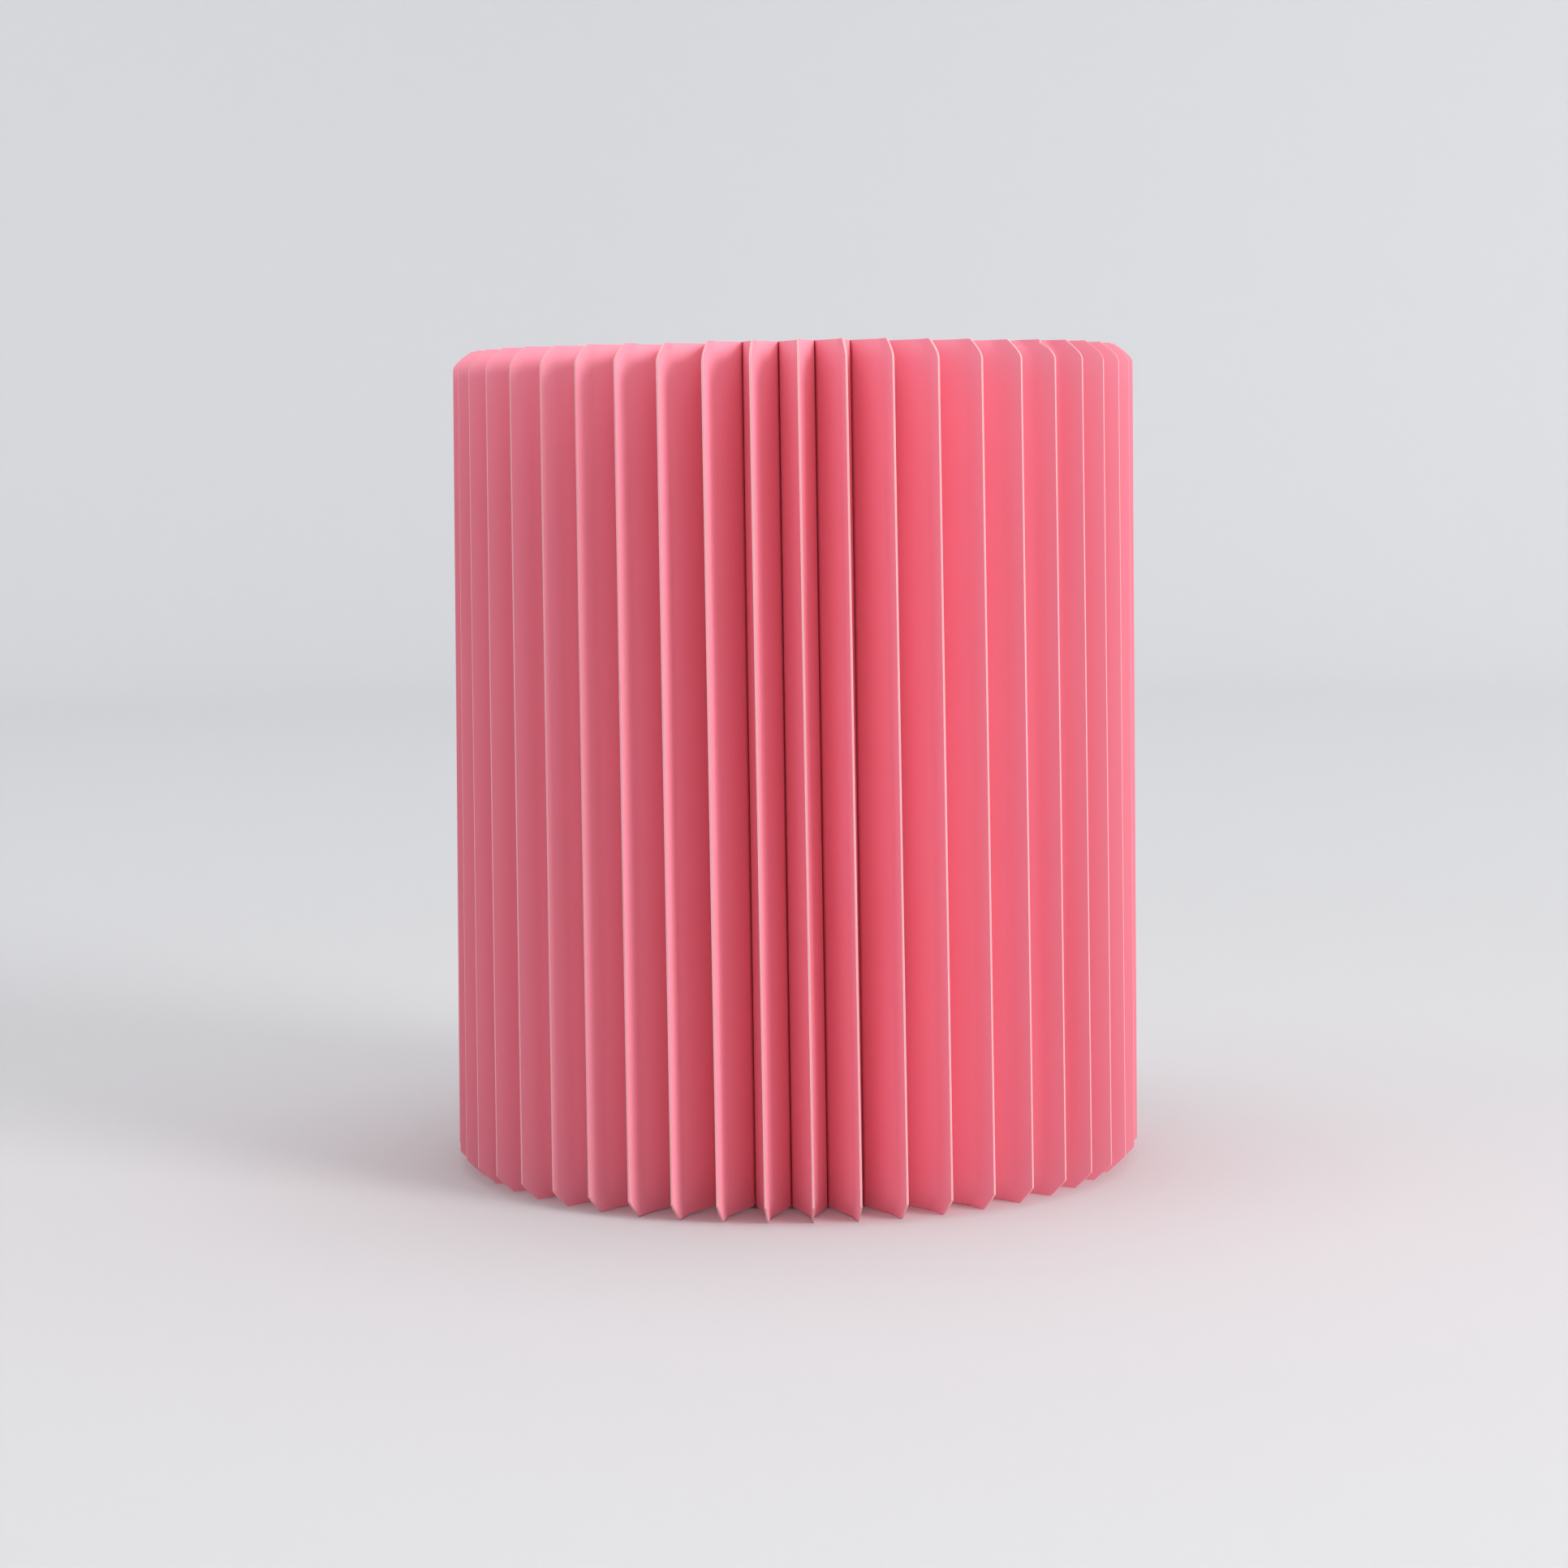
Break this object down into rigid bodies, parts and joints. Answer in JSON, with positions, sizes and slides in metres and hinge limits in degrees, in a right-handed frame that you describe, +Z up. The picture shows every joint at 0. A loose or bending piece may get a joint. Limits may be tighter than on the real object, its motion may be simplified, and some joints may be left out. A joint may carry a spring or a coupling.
{
  "type": "paper lantern",
  "caption": "Round pleated paper table lantern: folded leaves glued into a fluted ring shade with trimmed corners, standing over a base disc with a battery tea light.",
  "frame": {"origin": "centre of the base disc's underside, on the table, on the shade's axis", "axes": "+Z up along the shade's axis; the front faces -Y"},
  "size_m": [0.176, 0.176, 0.21],
  "materials": {
    "shade_paper": "matt, dyed through, fine tooth",
    "base_card": "pressed greyboard, white faced",
    "hoop_card": "pressed card, dyed to match",
    "light_case": "moulded, satin",
    "light_wax": "moulded, waxy",
    "switch": "moulded, fine texture",
    "cell_steel": "bright",
    "contact_brass": "spring strip",
    "led_epoxy": "clear warm epoxy",
    "flame_plastic": "frosted translucent"
  },
  "bodies": {
    "base": {"base_disc": "base_card"},
    "shade": {"leaf_01": "shade_paper", "leaf_02": "shade_paper", "leaf_03": "shade_paper", "leaf_04": "shade_paper", "leaf_05": "shade_paper", "leaf_06": "shade_paper", "leaf_07": "shade_paper", "leaf_08": "shade_paper", "leaf_09": "shade_paper", "leaf_10": "shade_paper", "leaf_11": "shade_paper", "leaf_12": "shade_paper", "leaf_13": "shade_paper", "leaf_14": "shade_paper", "leaf_15": "shade_paper", "leaf_16": "shade_paper", "leaf_17": "shade_paper", "leaf_18": "shade_paper", "leaf_19": "shade_paper", "leaf_20": "shade_paper", "leaf_21": "shade_paper", "leaf_22": "shade_paper", "leaf_23": "shade_paper", "leaf_24": "shade_paper", "leaf_25": "shade_paper", "leaf_26": "shade_paper", "leaf_27": "shade_paper", "leaf_28": "shade_paper", "leaf_29": "shade_paper", "leaf_30": "shade_paper", "leaf_31": "shade_paper", "leaf_32": "shade_paper", "leaf_33": "shade_paper", "leaf_34": "shade_paper", "leaf_35": "shade_paper", "leaf_36": "shade_paper", "leaf_37": "shade_paper", "leaf_38": "shade_paper", "leaf_39": "shade_paper", "leaf_40": "shade_paper", "leaf_41": "shade_paper", "leaf_42": "shade_paper", "leaf_43": "shade_paper", "leaf_44": "shade_paper", "leaf_45": "shade_paper", "leaf_46": "shade_paper", "leaf_47": "shade_paper", "leaf_48": "shade_paper", "lower_hoop": "hoop_card", "upper_hoop": "hoop_card"},
    "light": {"light_shell": "light_case", "light_cap": "light_wax", "coin_cell": "cell_steel", "contact_plus": "contact_brass", "contact_minus": "contact_brass", "led": "led_epoxy", "flame_lens": "flame_plastic"},
    "switch": {"switch_slider": "switch"},
    "door": {"battery_door": "light_case"}
  },
  "joints": [
    {"name": "shade_lift", "type": "slide", "parent": "base", "child": "shade", "axis": [0, 0, 1], "range_m": [0, 0.22]},
    {"name": "light_lift", "type": "slide", "parent": "base", "child": "light", "axis": [0, 0, 1], "range_m": [0, 0.215]},
    {"name": "switch_slide", "type": "slide", "parent": "light", "child": "switch", "axis": [0, 1, 0], "range_m": [0, 0.003]},
    {"name": "door_turn", "type": "hinge", "parent": "light", "child": "door", "pos_m": [-0.003, 0, 0.003], "axis": [0, 0, 1], "range_deg": [0, 38]}
  ]
}
